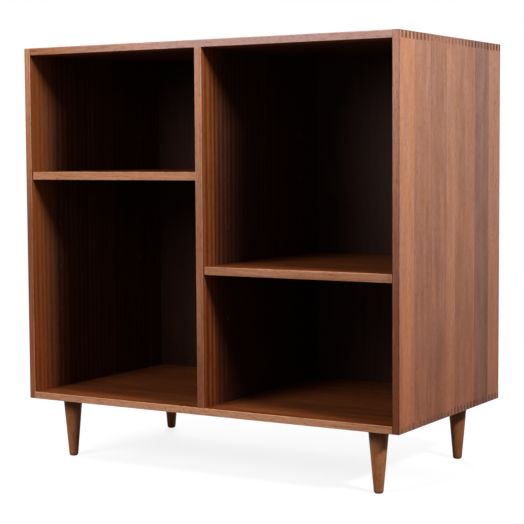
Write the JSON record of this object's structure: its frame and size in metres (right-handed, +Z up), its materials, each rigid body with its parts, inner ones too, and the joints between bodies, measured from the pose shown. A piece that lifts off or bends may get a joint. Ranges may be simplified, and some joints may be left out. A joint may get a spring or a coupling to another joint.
{
  "type": "bookcase",
  "caption": "Low open bookcase in dark wood: box-jointed case with a central divider, loose adjustable shelves at staggered heights and tapered round legs.",
  "frame": {"origin": "On the floor, under the middle of the case.", "axes": "+X to the right seen from the front, +Y from the open front to the back panel, +Z up."},
  "size_m": [0.9, 0.495, 0.895],
  "materials": {
    "case_wood": "satin oil, staved",
    "shelf_wood": "satin oil, staved",
    "leg_wood": "satin oil, turned",
    "back_veneer": "matt veneer",
    "dowel_wood": "plain beech",
    "support_nickel": "nickel plated",
    "fastener_steel": "zinc plated"
  },
  "bodies": {
    "case": {"left_side": "case_wood", "right_side": "case_wood", "top_panel": "case_wood", "bottom_panel": "case_wood", "divider": "case_wood", "back_panel": "back_veneer", "divider_dowels_top": "dowel_wood", "divider_dowels_bottom": "dowel_wood", "back_panel_screws": "fastener_steel", "shelf_pins_left": "support_nickel", "shelf_pins_right": "support_nickel", "leg_hanger_bolts": "fastener_steel", "leg_inserts": "fastener_steel", "shelf_pin_sleeves_left_side": "support_nickel", "shelf_pin_sleeves_divider_left": "support_nickel", "shelf_pin_sleeves_divider_right": "support_nickel", "shelf_pin_sleeves_right_side": "support_nickel", "leg_front_left": "leg_wood", "leg_front_right": "leg_wood", "leg_back_left": "leg_wood", "leg_back_right": "leg_wood"},
    "loose_shelf_left": {"shelf_left": "shelf_wood"},
    "loose_shelf_right": {"shelf_right": "shelf_wood"}
  },
  "joints": [
    {"name": "shelf_left_slide", "type": "slide", "parent": "case", "child": "loose_shelf_left", "axis": [0, -1, 0], "range_m": [0, 0.08]},
    {"name": "shelf_right_slide", "type": "slide", "parent": "case", "child": "loose_shelf_right", "axis": [0, -1, 0], "range_m": [0, 0.08]}
  ]
}
